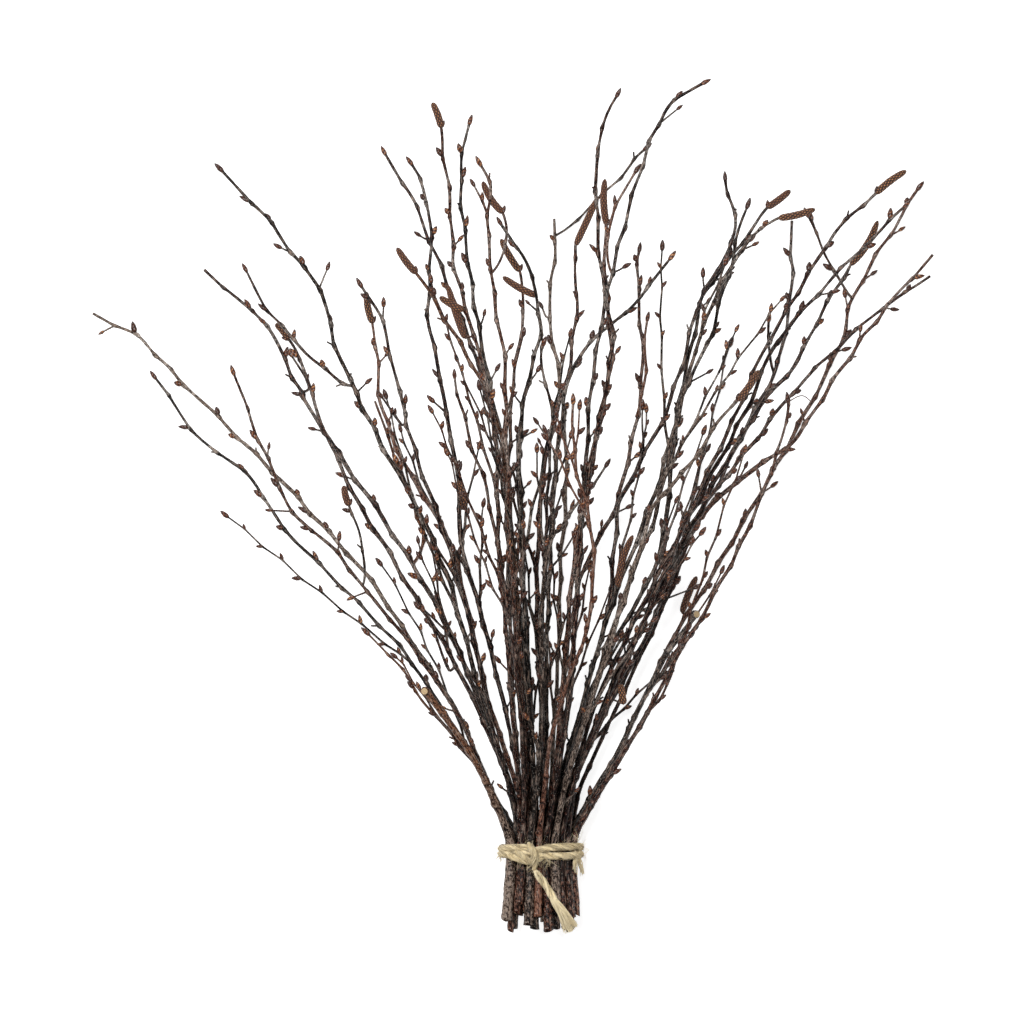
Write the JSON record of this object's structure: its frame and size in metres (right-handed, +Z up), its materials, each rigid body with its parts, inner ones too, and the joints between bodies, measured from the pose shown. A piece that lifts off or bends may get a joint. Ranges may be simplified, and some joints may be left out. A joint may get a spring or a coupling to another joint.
{
  "type": "tied bundle of twigs",
  "caption": "Bundle of cut birch twigs with buds and catkins, fanned out at the tips and tied near the cut ends with jute twine.",
  "frame": {"origin": "on the surface that the bundle lies on, under the middle of the twine", "axes": "+Y from the cut ends towards the tips, +Z up from the surface, +X to the right as seen from above with the tips away"},
  "size_m": [0.4237, 0.4257, 0.1239],
  "materials": {
    "young_bark": "smooth dark reddish-brown bark with pale lenticels",
    "old_bark": "greyer, rougher bark with peeling film",
    "jute": "hairy natural jute",
    "bud": "overlapping brown bud scales",
    "catkin": "dry scales in spirals",
    "cut_wood": "raw cut wood"
  },
  "bodies": {
    "root": {"twig_01": "old_bark", "twig_02": "young_bark", "twig_03": "young_bark", "twig_04": "old_bark", "twig_05": "young_bark", "twig_06": "young_bark", "twig_07": "old_bark", "twig_08": "young_bark", "twig_09": "young_bark", "twig_10": "old_bark", "twig_11": "young_bark", "twig_12": "young_bark", "twig_13": "old_bark", "twig_14": "young_bark", "twig_15": "young_bark", "twig_16": "old_bark", "twig_17": "young_bark", "twig_18": "young_bark", "twig_19": "old_bark", "twig_20": "young_bark", "twig_21": "young_bark", "twig_22": "old_bark", "twig_23": "young_bark", "twig_24": "young_bark", "twig_25": "old_bark", "twig_26": "young_bark", "twig_27": "young_bark", "twig_28": "old_bark", "twig_29": "young_bark", "twig_30": "young_bark", "twig_31": "old_bark", "twig_32": "young_bark", "twig_33": "young_bark", "twig_34": "old_bark", "twig_35": "young_bark", "twig_36": "young_bark", "twig_37": "old_bark", "twig_38": "young_bark", "twig_39": "young_bark", "twig_40": "old_bark", "twig_41": "young_bark", "twig_42": "young_bark", "twig_43": "old_bark", "twig_44": "young_bark", "twig_02_shoot": "young_bark", "twig_04_shoot": "old_bark", "twig_05_shoot": "young_bark", "twig_06_shoot": "young_bark", "twig_11_shoot": "old_bark", "twig_12_shoot": "young_bark", "twig_16_shoot": "young_bark", "twig_23_shoot": "old_bark", "twig_33_shoot": "young_bark", "twig_36_shoot": "young_bark", "twine_turns": "jute", "twine_knot": "jute", "twine_tail": "jute", "twine_short_end": "jute"}
  },
  "joints": []
}
